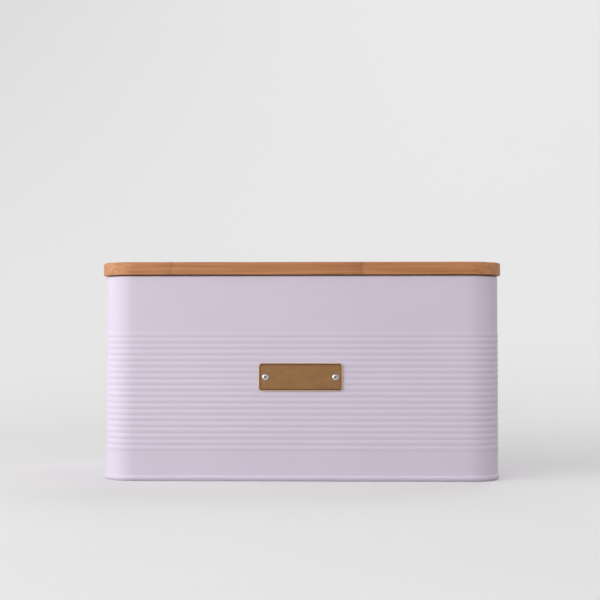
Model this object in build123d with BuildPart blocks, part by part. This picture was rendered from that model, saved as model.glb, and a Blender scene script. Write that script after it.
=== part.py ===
"""A steel bread box: a ribbed wall seamed to a pressed base, with a riveted brass label and a lift-off
bamboo lid that carries a silicone seal.

Millimetres. The origin is the centre of the plane the box stands on, +Z is up and the label faces -Y.
Ring sections are drawn in the plane (out, up): out is measured outwards from the wall's plain outer face.
"""

import os
from math import atan2, cos, degrees, pi, sin

from build123d import *

# Steel wall with an inward curl at the rim
body_width = 330.0
body_depth = 210.0
body_corner_radius = 26.0
rim_height = 169.8
wall_sheet = 0.3
curl_radius = 1.5

# Ribbed band pressed into the wall
rib_count = 20
rib_pitch = 4.95
rib_depth = 0.37
band_bottom = 24.5

# Base pan, and the double seam that folds its edge round the wall's foot
base_sheet = 0.25
seam_height = 4.6
seam_gap = 0.02
seam_end_gap = 0.3
panel_lift = 5.0

# Lid board, and the smaller plug board glued under it
lid_overhang = 2.5
lid_thickness = 10.5
lid_edge_radius = 1.5
plug_thickness = 7.0

# Silicone seal: a flange that rests on the rim, and a skirt stretched round the plug
seal_flange = 0.9
seal_fit = 0.05
seal_skirt = 1.2
seal_skirt_height = 5.5
seal_rim_gap = 0.3

# Label plate: a bevelled rim that slopes down to a plain field
label_width = 70.0
label_height = 23.4
label_centre = 86.0
label_corner_radius = 3.0
label_thickness = 1.6
label_field_depth = 0.5
label_bevel = 0.8
label_rim = 1.1
label_slope = 0.6
label_seat_gap = 0.03

# Blind rivets that hold the label, each with the stub of its pulled mandrel
rivet_inset = 6.0
rivet_shank_radius = 1.6
rivet_hole_gap = 0.05
rivet_head_radius = 2.8
rivet_head_height = 1.0
rivet_tail_radius = 2.3
rivet_tail_length = 3.2
mandrel_radius = 0.9
mandrel_gap = 0.04
mandrel_recess = 0.45

# Faces and heights that several pieces share
curl_centre = rim_height - curl_radius
rim_opening = -2 * curl_radius
lid_underside = rim_height + seal_flange
seal_face = rim_opening - seal_rim_gap
plug_face = seal_face - seal_skirt - seal_fit
band_top = band_bottom + rib_count * rib_pitch
label_back = rib_depth + label_seat_gap
rivet_spacing = label_width - 2 * rivet_inset
label_field = label_back + label_thickness - label_field_depth

# Layers of the double seam, from the chuck wall inside the box to the outer leg
chuck_middle = -wall_sheet - seam_gap - base_sheet / 2
base_hook_middle = seam_gap + base_sheet / 2
wall_hook_inside = 2 * seam_gap + base_sheet
wall_hook_outside = wall_hook_inside + wall_sheet
outer_leg_middle = wall_hook_outside + seam_gap + base_sheet / 2
wall_foot = base_sheet + seam_gap
wall_hook_top = seam_height - base_sheet - seam_end_gap
base_hook_foot = wall_foot + wall_sheet + seam_end_gap

UP = Vector(0, 0, 1)


def outline_at(out):
    """Width, depth and corner radius of the rounded rectangle at a distance outside the wall's face."""
    return body_width + 2 * out, body_depth + 2 * out, body_corner_radius + out


def across(point, out):
    """Plane that cuts a wall at a point: local x points out of the box, local y is up."""
    return Plane(origin=point, x_dir=out, z_dir=out.cross(UP))


def rib_line():
    """Zigzag of the pressed ribs on the wall's outer face, from the foot of the band to its top."""
    points = [(0, band_bottom)]
    for rib in range(rib_count):
        points.append((rib_depth, band_bottom + (rib + 0.5) * rib_pitch))
        points.append((0, band_bottom + (rib + 1) * rib_pitch))
    return points


def curl_line(radius):
    """Rim curl in eighths of a turn: over the top, down inside and back underneath."""
    corner = radius / cos(pi / 8)
    turns = [pi / 8 + eighth * pi / 4 for eighth in range(6)]
    return [(corner * cos(turn) - curl_radius, corner * sin(turn) + curl_centre) for turn in turns]


# The loop that ring sections follow, and the front face of the box
with BuildSketch() as wall_loop:
    RectangleRounded(*outline_at(0))
loop = wall_loop.face().outer_wire()
loop_start = across(loop @ 0, (loop % 0).cross(UP))
front = Plane.XZ.offset(body_depth / 2)

# Wall: one sheet with a hooked foot, a ribbed band and a curled rim. Along the four flats the ribs are
# pressed right through, so they show inside as well
flats = [
    (Vector(0, -1, 0), body_depth / 2, body_width / 2 - body_corner_radius),
    (Vector(0, 1, 0), body_depth / 2, body_width / 2 - body_corner_radius),
    (Vector(-1, 0, 0), body_width / 2, body_depth / 2 - body_corner_radius),
    (Vector(1, 0, 0), body_width / 2, body_depth / 2 - body_corner_radius),
]

with BuildPart() as body_wall:
    with BuildSketch(loop_start):
        with BuildLine():
            Polyline(
                *rib_line(),
                *curl_line(curl_radius),
                *reversed(curl_line(curl_radius - wall_sheet)),
                (-wall_sheet, wall_foot),
                (wall_hook_outside, wall_foot),
                (wall_hook_outside, wall_hook_top),
                (wall_hook_inside, wall_hook_top),
                (wall_hook_inside, wall_foot + wall_sheet),
                (0, wall_foot + wall_sheet),
                close=True,
            )
        make_face()
    sweep(path=loop)
    for out, distance, half_length in flats:
        with BuildSketch(across(out * distance, out)):
            with Locations((-wall_sheet, (band_bottom + band_top) / 2)):
                with GridLocations(0, rib_pitch, 1, rib_count):
                    Polygon((0, -rib_pitch / 2), (rib_depth, 0), (0, rib_pitch / 2), align=None)
        extrude(amount=half_length, both=True, mode=Mode.SUBTRACT)
    with BuildSketch(front.offset(rib_depth)):
        with Locations((0, label_centre)):
            with GridLocations(rivet_spacing, 0, 2, 1):
                Circle(rivet_shank_radius + rivet_hole_gap)
    extrude(amount=-rib_depth - wall_sheet, mode=Mode.SUBTRACT)

# Base pan: a recessed panel whose edge turns down, under the wall's foot and up again into the folded seam
with BuildPart() as base_pan:
    with BuildSketch(loop_start):
        with BuildLine():
            Polyline(
                (base_hook_middle, base_hook_foot),
                (base_hook_middle, seam_height - base_sheet / 2),
                (outer_leg_middle, seam_height - base_sheet / 2),
                (outer_leg_middle, base_sheet / 2),
                (chuck_middle, base_sheet / 2),
                (chuck_middle, panel_lift),
            )
        trace(line_width=base_sheet)
    sweep(path=loop)
    with BuildSketch(Plane.XY.offset(panel_lift)):
        RectangleRounded(*outline_at(chuck_middle + base_sheet / 2))
    extrude(amount=base_sheet)

# Label plate: the rim is bevelled outside and slopes inside, down to the field with its two rivet holes
field_inset = label_rim + label_slope

with BuildPart() as label_plate:
    with BuildSketch(front.offset(label_back)):
        with Locations((0, label_centre)):
            RectangleRounded(label_width, label_height, label_corner_radius)
    extrude(amount=label_thickness)
    chamfer(label_plate.edges().group_by(Axis.Y)[0], label_bevel)
    with BuildSketch(front.offset(label_field)):
        with Locations((0, label_centre)):
            RectangleRounded(
                label_width - 2 * field_inset,
                label_height - 2 * field_inset,
                label_corner_radius - field_inset,
            )
    extrude(
        amount=label_field_depth,
        taper=-degrees(atan2(label_slope, label_field_depth)),
        mode=Mode.SUBTRACT,
    )
    with BuildSketch(front.offset(label_back)):
        with Locations((0, label_centre)):
            with GridLocations(rivet_spacing, 0, 2, 1):
                Circle(rivet_shank_radius + rivet_hole_gap)
    extrude(amount=label_thickness, mode=Mode.SUBTRACT)

# Rivets: a domed head on the label, a shank through label and wall, and a swollen tail inside
rivet_centres = [Vector(side * rivet_spacing / 2, -body_depth / 2, label_centre) for side in (-1, 1)]
rivet_top = label_field + rivet_head_height
tail_start = -wall_sheet - rivet_hole_gap
tail_end = tail_start - rivet_tail_length
core_radius = mandrel_radius + mandrel_gap

with BuildPart() as label_rivets:
    for centre in rivet_centres:
        with BuildSketch(Plane(centre, x_dir=(1, 0, 0), z_dir=(0, 0, -1))):
            with BuildLine():
                Polyline(
                    (core_radius, tail_end),
                    (rivet_tail_radius, tail_end),
                    (rivet_tail_radius, tail_start),
                    (rivet_shank_radius, tail_start),
                    (rivet_shank_radius, label_field),
                    (rivet_head_radius, label_field),
                    (core_radius, rivet_top),
                    close=True,
                )
            make_face()
        revolve(axis=Axis(centre, (0, -1, 0)))

# Mandrel stubs, broken off below the rivet's crown
with BuildPart() as rivet_mandrels:
    with BuildSketch(front.offset(tail_end)):
        with Locations((0, label_centre)):
            with GridLocations(rivet_spacing, 0, 2, 1):
                Circle(mandrel_radius)
    extrude(amount=rivet_top - mandrel_recess - tail_end)

# Lid board with a rounded upper edge
with BuildPart() as lid_board:
    with BuildSketch(Plane.XY.offset(lid_underside)):
        RectangleRounded(*outline_at(lid_overhang))
    extrude(amount=lid_thickness)
    fillet(lid_board.edges().group_by(Axis.Z)[-1], lid_edge_radius)

# Plug board that drops into the opening
with BuildPart() as lid_plug:
    with BuildSketch(Plane.XY.offset(lid_underside)):
        RectangleRounded(*outline_at(plug_face))
    extrude(amount=-plug_thickness)

# Seal: the skirt fits between the plug and the rim, and the flange lies between the board and the rim
with BuildPart() as lid_seal:
    with BuildSketch(loop_start):
        with BuildLine():
            Polyline(
                (plug_face + seal_fit, lid_underside),
                (-curl_radius, lid_underside),
                (-curl_radius, rim_height),
                (seal_face, rim_height),
                (seal_face, lid_underside - seal_skirt_height),
                (plug_face + seal_fit, lid_underside - seal_skirt_height),
                close=True,
            )
        make_face()
    sweep(path=loop)

body_wall.part.label = "body_wall"
base_pan.part.label = "base_pan"
label_plate.part.label = "label_plate"
label_rivets.part.label = "label_rivets"
rivet_mandrels.part.label = "rivet_mandrels"
lid_board.part.label = "lid_board"
lid_plug.part.label = "lid_plug"
lid_seal.part.label = "lid_seal"

os.makedirs("parts", exist_ok=True)
export_step(body_wall.part, "parts/body_wall.step")
export_step(base_pan.part, "parts/base_pan.step")
export_step(label_plate.part, "parts/label_plate.step")
export_step(label_rivets.part, "parts/label_rivets.step")
export_step(rivet_mandrels.part, "parts/rivet_mandrels.step")
export_step(lid_board.part, "parts/lid_board.step")
export_step(lid_plug.part, "parts/lid_plug.step")
export_step(lid_seal.part, "parts/lid_seal.step")
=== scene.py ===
"""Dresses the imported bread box: painted ribbed steel, a bamboo lid with its seal, and a riveted label.

Metres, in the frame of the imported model: +Z is up and the label faces -Y. Lengths are written in
millimetres through MM. Ring sections are lists of (out, up): out is measured outwards from the wall's
plain outer face.
"""

from math import cos, pi, radians, sin

import bmesh
import bpy
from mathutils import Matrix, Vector


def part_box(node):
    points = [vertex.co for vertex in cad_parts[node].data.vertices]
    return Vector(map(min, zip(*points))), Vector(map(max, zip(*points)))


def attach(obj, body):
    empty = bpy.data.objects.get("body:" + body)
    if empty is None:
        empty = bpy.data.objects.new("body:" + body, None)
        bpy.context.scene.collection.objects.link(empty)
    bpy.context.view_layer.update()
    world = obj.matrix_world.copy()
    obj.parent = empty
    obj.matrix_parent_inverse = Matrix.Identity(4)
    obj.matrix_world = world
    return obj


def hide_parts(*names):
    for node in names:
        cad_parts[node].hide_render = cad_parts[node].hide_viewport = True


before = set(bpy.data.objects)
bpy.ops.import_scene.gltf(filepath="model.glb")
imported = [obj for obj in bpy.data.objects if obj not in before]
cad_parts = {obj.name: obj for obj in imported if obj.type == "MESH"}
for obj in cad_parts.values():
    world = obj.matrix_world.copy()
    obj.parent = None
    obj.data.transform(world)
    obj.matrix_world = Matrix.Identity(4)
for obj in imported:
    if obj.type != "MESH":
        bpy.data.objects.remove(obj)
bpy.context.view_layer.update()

MM = 0.001

# Sizes of the solids that the pieces follow
CORNER_RADIUS = 26.0 * MM
LID_OVERHANG = 2.5 * MM
LID_TOP_EDGE = 1.5 * MM
WALL_SHEET = 0.3 * MM
CURL_RADIUS = 1.5 * MM
RIB_COUNT = 20
RIB_PITCH = 4.95 * MM
BAND_BOTTOM = 24.5 * MM
SEAM_HEIGHT = 4.6 * MM
SEAM_REACH = 0.86 * MM
SEAM_GAP = 0.02 * MM
CHUCK_INSIDE = -0.57 * MM
CHUCK_OUTSIDE = -0.32 * MM
BASE_SHEET = 0.25 * MM
SEAL_FLANGE_REACH = -1.5 * MM
SEAL_FACE = -3.3 * MM
SEAL_FIT = 0.05 * MM
LABEL_CORNER = 3.0 * MM
LABEL_FIELD_DEPTH = 0.5 * MM
LABEL_BEVEL = 0.8 * MM
LABEL_RIM = 1.1 * MM
LABEL_SLOPE = 0.6 * MM
RIVET_HOLE = 1.65 * MM
RIVET_CORE = 0.94 * MM
RIVET_SHANK = 1.6 * MM
RIVET_TAIL = 2.3 * MM
RIVET_SEAT_GAP = 0.05 * MM

# Finer shapes than the solids have: round ribs, which stand out less than the solids' zigzag, a rim rolled
# through a turn in degrees, eased edges, the fins of the seal, and the broken ends of the mandrels, as
# shares of their radius with drops below the highest point
RIB_DEPTH = 0.25 * MM
RIB_BREADTH = 0.16
CURL_TURN = 260.0
LID_LOWER_EDGE = 0.3 * MM
PLUG_TOP_EDGE = 0.2 * MM
PLUG_LOWER_EDGE = 0.8 * MM
SEAL_EDGE = 0.3 * MM
SEAL_TIP = 0.4 * MM
FIN_COUNT = 3
FIN_RADIUS = 0.18 * MM
FIN_START = 1.2 * MM
FIN_PITCH = 1.1 * MM
LABEL_EASE = 0.12 * MM
RIVET_BRIM = 0.25 * MM
MANDREL_BREAK = ((1.0, 0.25 * MM), (0.7, 0.1 * MM), (0.35, 0.0), (0.0, 0.08 * MM))

# Bamboo: its strips and nodes, and how node and tone shift from one strip or length to the next. The tone's
# start and shifts make the left length of the lid's front edge lighter: partly wood tone, partly painted
# sheen
STRIP_WIDTH = 20.0 * MM
NODE_SPACING = 159.0 * MM
NODE_START = 0.886
NODE_SHIFT = 0.618
TONE_AND_SHEEN_START = 0.3
TONE_AND_SHEEN_SHIFT_ALONG = 0.42
TONE_AND_SHEEN_SHIFT_ACROSS = 0.29

# Usual range of a noise texture's values
NOISE_LOW = 0.3
NOISE_HIGH = 0.7

# Smoothness of the meshes: steps of round shapes, the guards beside them that keep flats flat, and the
# angles in degrees above which an edge is crisp
CORNER_STEPS = 32
LABEL_CORNER_STEPS = 14
RIB_STEPS = 12
CURL_STEPS = 24
LATHE_STEPS = 48
DOME_STEPS = 14
SWEEP_STEPS = 16
WALL_GUARD = 1.0 * MM
BAND_GUARD = 0.5 * MM
CORNER_GUARD = 2.0 * MM
LABEL_GUARD = 0.5 * MM
CRISP_ANGLE = 35.0
CRISP_ANGLE_TURNED = 40.0

# Camera, and the lamps as name, place, size and power in watts
CAMERA_PLACE = (33.4 * MM, -1259.3 * MM, 115.7 * MM)
CAMERA_TURN = (pi / 2 + 0.0294, 0.0, 0.0293)
CAMERA_LENS = 83.76
CAMERA_SENSOR = 36.0
WORLD_STRENGTH = 0.40
LAMP_TARGET = Vector((0.0, 0.0, 0.08))
LAMPS = (
    ("key", (-1.48, -0.61, 0.50), (3.0, 0.95), 22.5),
    ("front", (-0.9, -2.0, 0.72), (2.2, 1.3), 9.5),
    ("back", (0.5, 2.0, 2.2), (2.2, 1.5), 24.0),
    ("right", (1.75, -0.50, 0.9), (1.8, 1.5), 9.0),
)

# Places read from the frame
lid_low, lid_high = (Vector(corner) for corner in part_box("lid_board"))
plug_low, plug_high = (Vector(corner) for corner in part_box("lid_plug"))
seal_low, seal_high = (Vector(corner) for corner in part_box("lid_seal"))
wall_low, wall_high = (Vector(corner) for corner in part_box("body_wall"))
label_low, label_high = (Vector(corner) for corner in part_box("label_plate"))
rivet_low, rivet_high = (Vector(corner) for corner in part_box("label_rivets"))
mandrel_low, mandrel_high = (Vector(corner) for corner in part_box("rivet_mandrels"))
panel_top = Vector(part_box("base_pan")[1]).z
label_centre = (label_low + label_high) / 2
half_width = lid_high.x - LID_OVERHANG
half_depth = lid_high.y - LID_OVERHANG
rim_height = wall_high.z
plug_face = plug_high.x - half_width


# Mesh building

def rounded_rectangle(half_x, half_y, radius, steps, guard):
    """Stations round a rectangle with round corners, as (point, outward normal), with one on each flat at a
    guard's length from every corner so that the flats shade flat."""
    stations = []
    for quarter, (sign_x, sign_y) in enumerate(((1, -1), (1, 1), (-1, 1), (-1, -1))):
        centre = Vector((sign_x * (half_x - radius), sign_y * (half_y - radius)))
        start = (quarter - 1) * pi / 2
        corner = []
        for step in range(steps + 1):
            angle = start + step / steps * pi / 2
            normal = Vector((cos(angle), sin(angle)))
            corner.append((centre + radius * normal, normal))
        before = Vector((-sin(start), cos(start))) * -guard
        after = Vector((-sin(start + pi / 2), cos(start + pi / 2))) * guard
        stations.append((corner[0][0] + before, corner[0][1]))
        stations += corner
        stations.append((corner[-1][0] + after, corner[-1][1]))
    return stations


def upright(point, up):
    """Place of a station's point in the box's own frame."""
    return Vector((point.x, point.y, up))


def make_object(name, verts, faces, crisp_angle=CRISP_ANGLE):
    """Smooth-shaded mesh object with edges kept crisp above an angle."""
    mesh = bpy.data.meshes.new(name)
    mesh.from_pydata([tuple(v) for v in verts], [], faces)
    bm = bmesh.new()
    bm.from_mesh(mesh)
    bmesh.ops.recalc_face_normals(bm, faces=bm.faces)
    bm.to_mesh(mesh)
    bm.free()
    mesh.shade_smooth()
    mesh.set_sharp_from_angle(angle=radians(crisp_angle))
    obj = bpy.data.objects.new(name, mesh)
    bpy.context.collection.objects.link(obj)
    return obj


def loft(name, stations, section, place=upright, ends="join"):
    """Carries a section of (out, up) round the stations. Its two ends join, are capped, or stay open."""
    count = len(section)
    verts = [place(point + out * normal, up) for point, normal in stations for out, up in section]
    faces = []
    for station in range(len(stations)):
        here, there = station * count, (station + 1) % len(stations) * count
        for k in range(count if ends == "join" else count - 1):
            after = (k + 1) % count
            faces.append((here + k, there + k, there + after, here + after))
    if ends == "cap":
        faces.append([station * count for station in range(len(stations))])
        faces.append([station * count + count - 1 for station in range(len(stations))])
    return make_object(name, verts, faces)


def close_with_holes(obj, centres, radius, front, back):
    """Closes an open plate that faces -Y, front and back, leaving round holes through it."""
    bm = bmesh.new()
    bm.from_mesh(obj.data)
    turns = [2 * pi * step / LATHE_STEPS for step in range(LATHE_STEPS)]
    for centre in centres:
        circle = [(centre.x + radius * cos(turn), centre.z + radius * sin(turn)) for turn in turns]
        near, far = ([bm.verts.new((x, level, z)) for x, z in circle] for level in (front, back))
        for step in range(LATHE_STEPS):
            after = (step + 1) % LATHE_STEPS
            bm.faces.new((near[step], near[after], far[after], far[step]))
    rims = [edge for edge in bm.edges if edge.is_boundary]
    middle = (front + back) / 2
    for side in (1, -1):
        loop = [edge for edge in rims if (edge.verts[0].co.y - middle) * side > 0]
        bmesh.ops.triangle_fill(bm, edges=loop, use_beauty=True)
    bmesh.ops.recalc_face_normals(bm, faces=bm.faces)
    bm.to_mesh(obj.data)
    bm.free()
    obj.data.shade_smooth()
    obj.data.set_sharp_from_angle(angle=radians(CRISP_ANGLE))


def arc(centre, radius, start, end, steps):
    """Points of an arc in the section plane, angles in degrees from out towards up."""
    angles = [radians(start + (end - start) * step / steps) for step in range(steps + 1)]
    return [(centre[0] + radius * cos(angle), centre[1] + radius * sin(angle)) for angle in angles]


def swell(centre, out, up, start, end, steps, fullness):
    """Points of a quarter curve in the section plane, angles as for an arc. A fullness of 1 is an ellipse,
    and more is flatter."""
    angles = [radians(start + (end - start) * step / steps) for step in range(steps + 1)]
    side = 1 if start + end > 0 else -1
    curve = [(abs(cos(angle)) ** fullness, side * abs(sin(angle)) ** fullness) for angle in angles]
    return [(centre[0] + out * across, centre[1] + up * along) for across, along in curve]


def lathe_parts(name, profile, centres):
    """One object of equal turned pieces whose axes run along -Y. The profile is a list of (radius, forward)
    that comes back to its first point or runs from axis to axis."""
    verts, faces = [], []
    for centre in centres:
        first = len(verts)
        for radius, forward in profile:
            for step in range(LATHE_STEPS):
                angle = 2 * pi * step / LATHE_STEPS
                verts.append(centre + Vector((radius * cos(angle), -forward, radius * sin(angle))))
        for ring in range(len(profile) - 1):
            low, high = first + ring * LATHE_STEPS, first + (ring + 1) * LATHE_STEPS
            for step in range(LATHE_STEPS):
                after = (step + 1) % LATHE_STEPS
                faces.append((low + step, low + after, high + after, high + step))
    obj = make_object(name, verts, faces, CRISP_ANGLE_TURNED)
    bm = bmesh.new()
    bm.from_mesh(obj.data)
    bmesh.ops.remove_doubles(bm, verts=bm.verts, dist=1e-7)
    bmesh.ops.recalc_face_normals(bm, faces=bm.faces)
    bm.to_mesh(obj.data)
    bm.free()
    return obj


def dress(obj, node, body, material):
    """Puts a piece in the place of a CAD node, on that node's body, with its finish."""
    obj.data.materials.clear()
    obj.data.materials.append(material)
    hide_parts(node)
    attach(obj, body)


# Materials

class Shader:
    """A new material and short calls that add and join its nodes."""

    def __init__(self, name, **settings):
        self.material = bpy.data.materials.new(name)
        self.material.use_nodes = True
        self.tree = self.material.node_tree
        self.bsdf = self.tree.nodes["Principled BSDF"]
        for socket, value in settings.items():
            self.bsdf.inputs[socket.replace("_", " ")].default_value = value

    def node(self, kind, inputs=None, **properties):
        """A new node, with each input linked or set."""
        made = self.tree.nodes.new(kind)
        for name, value in properties.items():
            setattr(made, name, value)
        for key, value in (inputs or {}).items():
            if isinstance(value, bpy.types.NodeSocket):
                self.tree.links.new(value, made.inputs[key])
            else:
                made.inputs[key].default_value = value
        return made

    def set(self, socket, output):
        """Links an output to a socket of the surface."""
        self.tree.links.new(output, self.bsdf.inputs[socket])

    def coords(self, scale=(1, 1, 1)):
        """Object coordinates in metres, scaled along the axes."""
        where = self.node("ShaderNodeTexCoord").outputs["Object"]
        return self.node("ShaderNodeMapping", {"Vector": where, "Scale": scale}).outputs[0]

    def noise(self, vector, scale=1.0, detail=2.0, roughness=0.5):
        inputs = {"Vector": vector, "Scale": scale, "Detail": detail, "Roughness": roughness}
        return self.node("ShaderNodeTexNoise", inputs).outputs["Fac"]

    def ramp(self, value, *stops):
        """Colour ramp from (position, colour) stops."""
        made = self.node("ShaderNodeValToRGB", {"Fac": value})
        elements = made.color_ramp.elements
        while len(elements) < len(stops):
            elements.new(0.5)
        for element, (position, colour) in zip(elements, stops):
            element.position = position
            element.color = (*colour, 1.0)
        return made.outputs["Color"]

    def span(self, value, low, high, to_low, to_high):
        """A value moved from one range to another and kept inside it."""
        inputs = {"Value": value, 1: low, 2: high, 3: to_low, 4: to_high}
        return self.node("ShaderNodeMapRange", inputs, clamp=True).outputs["Result"]

    def spread(self, noise, to_low, to_high):
        """A value that follows a noise from one limit to another."""
        return self.span(noise, NOISE_LOW, NOISE_HIGH, to_low, to_high)

    def blend(self, noise, dark, light):
        """A colour that follows a noise from dark to light."""
        return self.ramp(noise, (NOISE_LOW, dark), (NOISE_HIGH, light))

    def maths(self, operation, first, second=0.0):
        return self.node("ShaderNodeMath", {0: first, 1: second}, operation=operation).outputs[0]

    def add(self, first, second):
        return self.maths("ADD", first, second)

    def scaled(self, value, factor):
        return self.maths("MULTIPLY", value, factor)

    def vector(self, operation, first, second):
        made = self.node("ShaderNodeVectorMath", {0: first, 1: second}, operation=operation)
        return made.outputs["Value" if operation == "DOT_PRODUCT" else "Vector"]

    def mix(self, factor, first, second):
        """From the first colour to the second as a linked factor goes from 0 to 1."""
        made = self.node("ShaderNodeMix", data_type="RGBA")
        for index, value in ((0, factor), (6, first), (7, second)):
            if isinstance(value, bpy.types.NodeSocket):
                self.tree.links.new(value, made.inputs[index])
            else:
                made.inputs[index].default_value = (*value, 1.0)
        return made.outputs[2]

    def bump(self, height, strength, distance):
        inputs = {"Height": height, "Strength": strength, "Distance": distance}
        return self.node("ShaderNodeBump", inputs).outputs["Normal"]


def paint_material():
    """Satin powder coat: even, very faintly mottled, with fine orange peel."""
    shader = Shader("powder_coat", IOR=1.5, Coat_Weight=0.2, Coat_Roughness=0.5)
    where = shader.coords()
    mottle = shader.noise(where, scale=14.0, detail=3.0)
    shader.set("Base Color", shader.blend(mottle, (0.82, 0.735, 0.888), (0.85, 0.765, 0.918)))
    grain = shader.noise(where, scale=2600.0, detail=1.0)
    shader.set("Roughness", shader.spread(grain, 0.54, 0.62))
    peel = shader.noise(where, scale=620.0, detail=2.0, roughness=0.45)
    shader.set("Normal", shader.bump(peel, strength=0.10, distance=0.05 * MM))
    return shader.material


def bamboo_material():
    """Laminated bamboo: strips along X, long fibres, and a node every so often along each strip."""
    shader = Shader("bamboo", IOR=1.45, Coat_Weight=0.1, Coat_Roughness=0.4)
    parts = shader.node("ShaderNodeSeparateXYZ", {"Vector": shader.coords()}).outputs
    strip = shader.maths("FLOOR", shader.scaled(parts["Y"], 1 / STRIP_WIDTH))
    long_fibre = shader.noise(shader.coords((11, 380, 380)), detail=3.0, roughness=0.6)
    fine_fibre = shader.noise(shader.coords((16, 2100, 2100)), detail=2.0)
    cloud = shader.noise(shader.coords((9, 60, 60)), detail=2.0)
    sway = shader.noise(shader.coords((20, 120, 120)), detail=2.0)

    # Place along the strip in node spacings, a dark line with a pale edge at each node, and a tone for each
    # length between nodes: partly the wood's own tone, and on the lid's front edge a painted sheen that
    # lightens the left length
    along = shader.add(shader.scaled(parts["X"], 1 / NODE_SPACING), NODE_START)
    along = shader.add(along, shader.scaled(strip, NODE_SHIFT))
    along = shader.add(along, shader.spread(sway, -0.012, 0.012))
    node_greys = ((0.42, 0.5), (0.48, 0.36), (0.50, 0.22), (0.515, 0.58), (0.58, 0.5))
    node_stops = [(position, (grey, grey, grey)) for position, grey in node_greys]
    node = shader.ramp(shader.maths("FRACT", along), *node_stops)
    length = shader.maths("FLOOR", shader.add(along, 0.5))
    tone = shader.add(shader.scaled(length, TONE_AND_SHEEN_SHIFT_ALONG), shader.scaled(strip, TONE_AND_SHEEN_SHIFT_ACROSS))
    tone = shader.maths("FRACT", shader.add(tone, TONE_AND_SHEEN_START))

    # All of these together set how light the wood is
    fibre = shader.add(shader.scaled(long_fibre, 0.7), shader.scaled(fine_fibre, 0.25))
    fibre = shader.add(fibre, shader.scaled(cloud, 0.2))
    # Length tone: partly the wood's own tone, partly a painted sheen on the left of the lid's front edge
    fibre = shader.add(fibre, shader.span(tone, 0, 1, -0.035, 0.055))
    fibre = shader.add(fibre, shader.span(node, 0, 1, -0.22, 0.22))
    colour = shader.ramp(fibre, (0.34, (0.394, 0.140, 0.049)), (0.76, (0.746, 0.326, 0.123)))
    shader.set("Base Color", colour)
    shader.set("Roughness", shader.spread(fine_fibre, 0.40, 0.54))
    shader.set("Normal", shader.bump(fine_fibre, strength=0.10, distance=0.05 * MM))
    return shader.material


def brass_material():
    """Lacquered aged brass: brushed along X and faintly clouded. The rim's outer bevel is coloured pale,
    partly rubbed wear and partly a painted highlight, and the slope inside it is darkened as painted shade."""
    shader = Shader("aged_brass", Metallic=1.0, Coat_Weight=0.5, Coat_Roughness=0.22)
    brushed = shader.noise(shader.coords((60, 900, 2400)), detail=2.0, roughness=0.6)
    cloud = shader.noise(shader.coords(), scale=220.0, detail=4.0, roughness=0.6)
    tone = shader.add(shader.scaled(cloud, 0.45), shader.scaled(brushed, 0.55))
    field = shader.blend(tone, (0.25, 0.124, 0.045), (0.33, 0.172, 0.065))
    facing = shader.node("ShaderNodeNewGeometry").outputs["Normal"]
    from_centre = shader.vector("SUBTRACT", shader.coords(), label_centre)
    outward = shader.vector("DOT_PRODUCT", shader.vector("MULTIPLY", from_centre, (1, 0, 1)), facing)
    # Outer bevel mask: the pale colour there is partly rubbed wear and partly a painted highlight
    bevel = shader.span(outward, 0.0, 2.0 * MM, 0.0, 1.0)
    # Inner slope mask: the dark colour there is painted shade in the recess between rim and field
    slope = shader.span(outward, 0.0, -2.0 * MM, 0.0, 1.0)
    colour = shader.mix(slope, field, (0.17, 0.078, 0.026))
    # Pale bevel colour: partly rubbed wear, partly a painted highlight
    shader.set("Base Color", shader.mix(bevel, colour, (0.80, 0.62, 0.42)))
    dull = shader.spread(tone, 0.56, 0.46)
    shader.set("Roughness", shader.maths("SUBTRACT", dull, shader.scaled(bevel, 0.2)))
    shader.set("Normal", shader.bump(tone, strength=0.14, distance=0.03 * MM))
    return shader.material


def rivet_material():
    """Satin aluminium with fine handling marks."""
    shader = Shader("rivet_aluminium", Metallic=1.0)
    marks = shader.noise(shader.coords(), scale=900.0, detail=3.0)
    shader.set("Base Color", shader.blend(marks, (0.50, 0.475, 0.475), (0.64, 0.61, 0.61)))
    shader.set("Roughness", shader.spread(marks, 0.20, 0.30))
    shader.set("Normal", shader.bump(marks, strength=0.08, distance=0.03 * MM))
    return shader.material


def mandrel_material():
    """Dark steel, rough where it broke."""
    shader = Shader("mandrel_steel", Metallic=1.0)
    break_grain = shader.noise(shader.coords(), scale=2600.0, detail=3.0)
    shader.set("Base Color", shader.blend(break_grain, (0.09, 0.085, 0.085), (0.22, 0.21, 0.21)))
    shader.set("Roughness", shader.spread(break_grain, 0.5, 0.7))
    shader.set("Normal", shader.bump(break_grain, strength=0.4, distance=0.06 * MM))
    return shader.material


def silicone_material():
    """Dark grey silicone with a dusty skin, so dark that it also paints shade into the narrow gap under the
    lid.
    """
    shader = Shader("silicone", IOR=1.41, Subsurface_Weight=0.15, Subsurface_Scale=2.0 * MM)
    dust = shader.noise(shader.coords(), scale=420.0, detail=3.0)
    # Very dark grey: the seal's own colour, darkened further as painted shade for the gap under the lid
    shader.set("Base Color", shader.blend(dust, (0.11, 0.11, 0.11), (0.15, 0.15, 0.15)))
    shader.set("Roughness", shader.spread(dust, 0.45, 0.6))
    shader.set("Normal", shader.bump(dust, strength=0.06, distance=0.03 * MM))
    return shader.material


# Pieces

wall_stations = rounded_rectangle(half_width, half_depth, CORNER_RADIUS, CORNER_STEPS, CORNER_GUARD)


def rib_height(share):
    """How far a rib stands out, by the share of its pitch: a broad crest between tighter valleys."""
    wave = 0.5 - 0.5 * cos(2 * pi * share)
    half_wave = 0.5 - 0.5 * cos(4 * pi * share)
    return RIB_DEPTH * (wave + RIB_BREADTH * half_wave)


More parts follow.
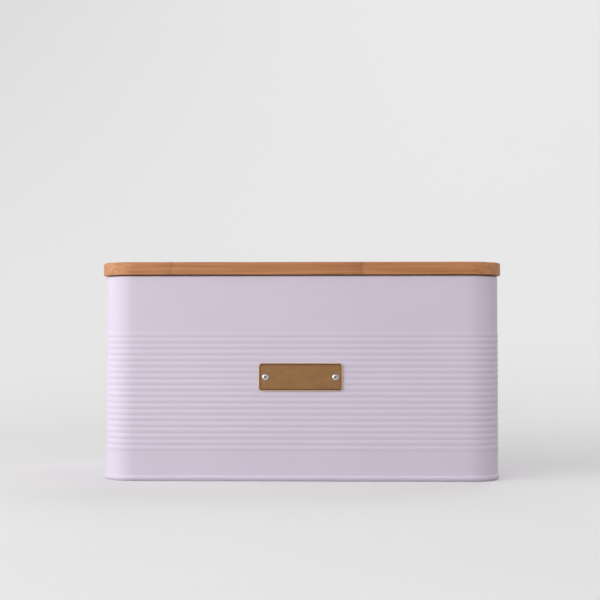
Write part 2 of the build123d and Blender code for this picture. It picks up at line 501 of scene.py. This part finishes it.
def wall_side(offset, curl):
    """One face of the wall's sheet from foot to rim, then round the curl."""
    band_top = BAND_BOTTOM + RIB_COUNT * RIB_PITCH
    curl_centre = (-CURL_RADIUS, rim_height - CURL_RADIUS)
    side = [(offset, up) for up in (wall_low.z, SEAM_HEIGHT + WALL_GUARD, BAND_BOTTOM - BAND_GUARD)]
    for step in range(RIB_COUNT * RIB_STEPS + 1):
        side.append((offset + rib_height(step / RIB_STEPS), BAND_BOTTOM + step / RIB_STEPS * RIB_PITCH))
    side += [(offset, up) for up in (band_top + BAND_GUARD, curl_centre[1] - WALL_GUARD)]
    return side + arc(curl_centre, curl, 0, CURL_TURN, CURL_STEPS)


def make_wall(material):
    """Ribbed sheet with a rolled rim."""
    section = wall_side(0.0, CURL_RADIUS) + wall_side(-WALL_SHEET, CURL_RADIUS - WALL_SHEET)[::-1]
    obj = loft("wall", wall_stations, section)
    dress(obj, "body_wall", "body", material)


def make_base(material):
    """Folded seam that bulges outside and turns under at the floor, and the recessed panel."""
    bulge, heel, sole = 2.4 * MM, -0.4 * MM, 0.15 * MM
    lip, lip_drop = 0.05 * MM, 0.2 * MM
    section = [(CHUCK_OUTSIDE, panel_top), (CHUCK_OUTSIDE, BASE_SHEET)]
    section += [(SEAM_GAP, BASE_SHEET), (SEAM_GAP, SEAM_HEIGHT - lip_drop)]
    section += swell((lip, bulge), SEAM_REACH - lip, SEAM_HEIGHT - bulge, 90, 0, steps=12, fullness=0.9)
    section += swell((heel, bulge), SEAM_REACH - heel, bulge, 0, -90, steps=14, fullness=1.35)[1:]
    section += [(CHUCK_INSIDE, sole), (CHUCK_INSIDE, panel_top - BASE_SHEET)]
    obj = loft("base", wall_stations, section, ends="cap")
    dress(obj, "base_pan", "body", material)


def board_section(low, high, out, edge_low, edge_high):
    """Half section of a board with eased edges, from the underside to the top."""
    lower = arc((out - edge_low, low + edge_low), edge_low, -90, 0, steps=8)
    upper = arc((out - edge_high, high - edge_high), edge_high, 0, 90, steps=10)
    return lower + upper


def make_lid(material):
    """Board on top, almost sharp below and rounded above."""
    section = board_section(lid_low.z, lid_high.z, LID_OVERHANG, LID_LOWER_EDGE, LID_TOP_EDGE)
    obj = loft("lid", wall_stations, section, ends="cap")
    dress(obj, "lid_board", "lid", material)


def make_plug(material):
    """Board that drops into the opening."""
    section = board_section(plug_low.z, plug_high.z, plug_face, PLUG_LOWER_EDGE, PLUG_TOP_EDGE)
    obj = loft("plug", wall_stations, section, ends="cap")
    dress(obj, "lid_plug", "lid", material)


def make_seal(material):
    """Flange under the lid and a skirt with fine wiping fins."""
    inside = plug_face + SEAL_FIT
    flange_round = SEAL_FLANGE_REACH - SEAL_EDGE
    section = [(inside, seal_high.z)]
    section += arc((flange_round, seal_high.z - SEAL_EDGE), SEAL_EDGE, 90, 0, steps=5)
    section += arc((flange_round, rim_height + SEAL_EDGE), SEAL_EDGE, 0, -90, steps=5)
    section += [(SEAL_FACE, rim_height)]
    for index in range(FIN_COUNT):
        level = rim_height - FIN_START - index * FIN_PITCH
        section += arc((SEAL_FACE, level), FIN_RADIUS, 90, -90, steps=6)
    section += arc((SEAL_FACE - SEAL_TIP, seal_low.z + SEAL_TIP), SEAL_TIP, 0, -90, steps=5)
    section += [(inside, seal_low.z)]
    obj = loft("seal", wall_stations, section)
    dress(obj, "lid_seal", "lid", material)


def on_front(point, up):
    """Place of a label point: the station's plane is the label's back, and up is away from the wall."""
    return Vector((label_centre.x + point.x, label_high.y - up, label_centre.z + point.y))


def rivet_centres():
    """Points on the two rivet axes, in the plane of the wall's front face."""
    head = (rivet_high.z - rivet_low.z) / 2
    height = (rivet_high.z + rivet_low.z) / 2
    return [Vector((x, -half_depth, height)) for x in (rivet_low.x + head, rivet_high.x - head)]


def make_label(material):
    """Pressed plate: a rim with a slope on both sides round a plain field, and a hole for each rivet."""
    half_x = (label_high.x - label_low.x) / 2
    half_z = (label_high.z - label_low.z) / 2
    thickness = label_high.y - label_low.y
    field = thickness - LABEL_FIELD_DEPTH
    shoulder = thickness - LABEL_BEVEL
    foot = -LABEL_RIM - LABEL_SLOPE
    ease = LABEL_EASE
    section = [(-ease, 0.0), (0.0, ease), (0.0, shoulder - ease), (-ease, shoulder + ease)]
    section += [(-LABEL_BEVEL + ease, thickness - ease), (-LABEL_BEVEL, thickness)]
    section += [(-LABEL_RIM, thickness), (-LABEL_RIM - ease, thickness - ease)]
    section += [(foot + ease, field + ease), (foot - ease, field), (foot - 3 * ease, field)]
    stations = rounded_rectangle(half_x, half_z, LABEL_CORNER, LABEL_CORNER_STEPS, LABEL_GUARD)
    obj = loft("label", stations, section, place=on_front, ends="open")
    close_with_holes(obj, rivet_centres(), RIVET_HOLE, label_high.y - field, label_high.y)
    dress(obj, "label_plate", "body", material)


def make_rivets(material):
    """Domed heads on the label's field, shanks, and swollen tails inside the wall."""
    head = (rivet_high.z - rivet_low.z) / 2
    top = -half_depth - rivet_low.y
    end = -half_depth - rivet_high.y
    field = -half_depth - label_low.y - LABEL_FIELD_DEPTH
    brim = field + RIVET_BRIM
    seat = -WALL_SHEET - RIVET_SEAT_GAP

    # Eased edges of the hole in the crown and of the head, and where the tail swells and narrows again
    mouth_depth, mouth_width, mouth_dip = 0.12 * MM, 0.1 * MM, 0.03 * MM
    tuck, tuck_rise, foot_inset = 0.05 * MM, 0.08 * MM, 0.2 * MM
    neck_inset, swollen, narrowing, tip_inset = 0.3 * MM, -0.8 * MM, 0.55, 0.5 * MM

    crown = head - RIVET_CORE
    turns = [step / DOME_STEPS * pi / 2 for step in range(1, DOME_STEPS + 1)]
    mouth = [(RIVET_CORE, end), (RIVET_CORE, top - mouth_depth)]
    mouth += [(RIVET_CORE + mouth_width, top - mouth_dip)]
    dome = [(RIVET_CORE + crown * sin(turn), brim + (top - brim) * cos(turn)) for turn in turns]
    rim = [(head - tuck, field + tuck_rise), (head - foot_inset, field)]
    shank = [(RIVET_SHANK, field), (RIVET_SHANK, seat)]
    tail = [(RIVET_TAIL - neck_inset, seat), (RIVET_TAIL, swollen), (RIVET_TAIL, end * narrowing)]
    tail += [(RIVET_TAIL - tip_inset, end), (RIVET_CORE, end)]
    obj = lathe_parts("rivets", mouth + dome + rim + shank + tail, rivet_centres())
    dress(obj, "label_rivets", "body", material)


def make_mandrels(material):
    """Stubs inside the rivets, broken off unevenly below the crown."""
    end = -half_depth - rivet_high.y
    top = -half_depth - mandrel_low.y
    pin = (mandrel_high.z - mandrel_low.z) / 2
    stub = [(0.0, end), (pin, end)]
    broken = [(pin * share, top - drop) for share, drop in MANDREL_BREAK]
    obj = lathe_parts("mandrels", stub + broken, rivet_centres())
    dress(obj, "rivet_mandrels", "body", material)


paint = paint_material()
bamboo = bamboo_material()
make_wall(paint)
make_base(paint)
make_lid(bamboo)
make_plug(bamboo)
make_seal(silicone_material())
make_label(brass_material())
make_rivets(rivet_material())
make_mandrels(mandrel_material())


# Studio

def seen_directly(shader):
    """1 where the camera, a mirror reflection or glass sees the surface, 0 for light that it passes on."""
    rays = shader.node("ShaderNodeLightPath").outputs
    seen = shader.maths("MAXIMUM", rays["Is Camera Ray"], rays["Is Glossy Ray"])
    return shader.maths("MAXIMUM", seen, rays["Is Transmission Ray"])


def floor_material():
    """Pale floor that passes on less light than it shows. Away from the box it shines a little itself, so
    that it stays pale behind the lamps."""
    shader = Shader("studio", Roughness=0.9)
    where = shader.coords()
    cloud = shader.noise(where, scale=3.0)
    near = shader.blend(cloud, (0.84, 0.835, 0.83), (0.86, 0.855, 0.85))
    # 0 beside the box and 1 away from it, by the square of the distance
    away = shader.span(shader.vector("DOT_PRODUCT", where, where), 0.2, 1.7, 0.0, 1.0)
    seen = seen_directly(shader)
    pale = shader.mix(away, near, (0.45, 0.447, 0.445))
    shader.set("Base Color", shader.mix(seen, (0.17, 0.165, 0.16), pale))
    shader.set("Emission Strength", shader.scaled(seen, shader.span(away, 0.0, 1.0, 0.06, 0.42)))
    return shader.material


def make_floor(material):
    """Floor that sweeps up into a backdrop and has a low lip far out on its other sides."""
    reach, lip, back, top, bend = 20.0, 1.5, 2.6, 3.5, 2.0
    turns = [step / SWEEP_STEPS * pi / 2 for step in range(SWEEP_STEPS + 1)]
    across = [(-reach, lip), (-reach, 0.0), (reach, 0.0), (reach, lip)]
    outline = [(-reach, lip), (-reach, 0.0)]
    outline += [(back - bend + bend * sin(turn), bend - bend * cos(turn)) for turn in turns]
    outline += [(back, top)]
    verts = [Vector((x, y, z + rise)) for y, z in outline for x, rise in across]
    columns = len(across)
    corners = [row * columns + column for row in range(len(outline) - 1) for column in range(columns - 1)]
    faces = [(k, k + 1, k + columns + 1, k + columns) for k in corners]
    obj = make_object("floor", verts, faces)
    obj.data.materials.append(material)


def make_world():
    """Even white light from all round."""
    world = bpy.data.worlds.new("studio_world")
    world.use_nodes = True
    background = world.node_tree.nodes["Background"].inputs
    background["Color"].default_value = (1.0, 1.0, 1.0, 1.0)
    background["Strength"].default_value = WORLD_STRENGTH
    bpy.context.scene.world = world


def make_lamp(name, place, size, power):
    """Soft rectangular lamp that faces the box."""
    data = bpy.data.lights.new(name, "AREA")
    data.shape = "RECTANGLE"
    data.size, data.size_y = size
    data.energy = power
    obj = bpy.data.objects.new(name, data)
    obj.location = place
    obj.rotation_euler = (LAMP_TARGET - Vector(place)).to_track_quat("-Z", "Y").to_euler()
    bpy.context.collection.objects.link(obj)


def make_camera():
    """Camera that frames the box as the photograph does."""
    data = bpy.data.cameras.new("camera")
    data.sensor_width = CAMERA_SENSOR
    data.lens = CAMERA_LENS
    obj = bpy.data.objects.new("camera", data)
    obj.location = CAMERA_PLACE
    obj.rotation_euler = CAMERA_TURN
    bpy.context.collection.objects.link(obj)
    bpy.context.scene.camera = obj


make_floor(floor_material())
make_world()
for lamp in LAMPS:
    make_lamp(*lamp)
make_camera()
bpy.context.scene.view_settings.view_transform = "Standard"
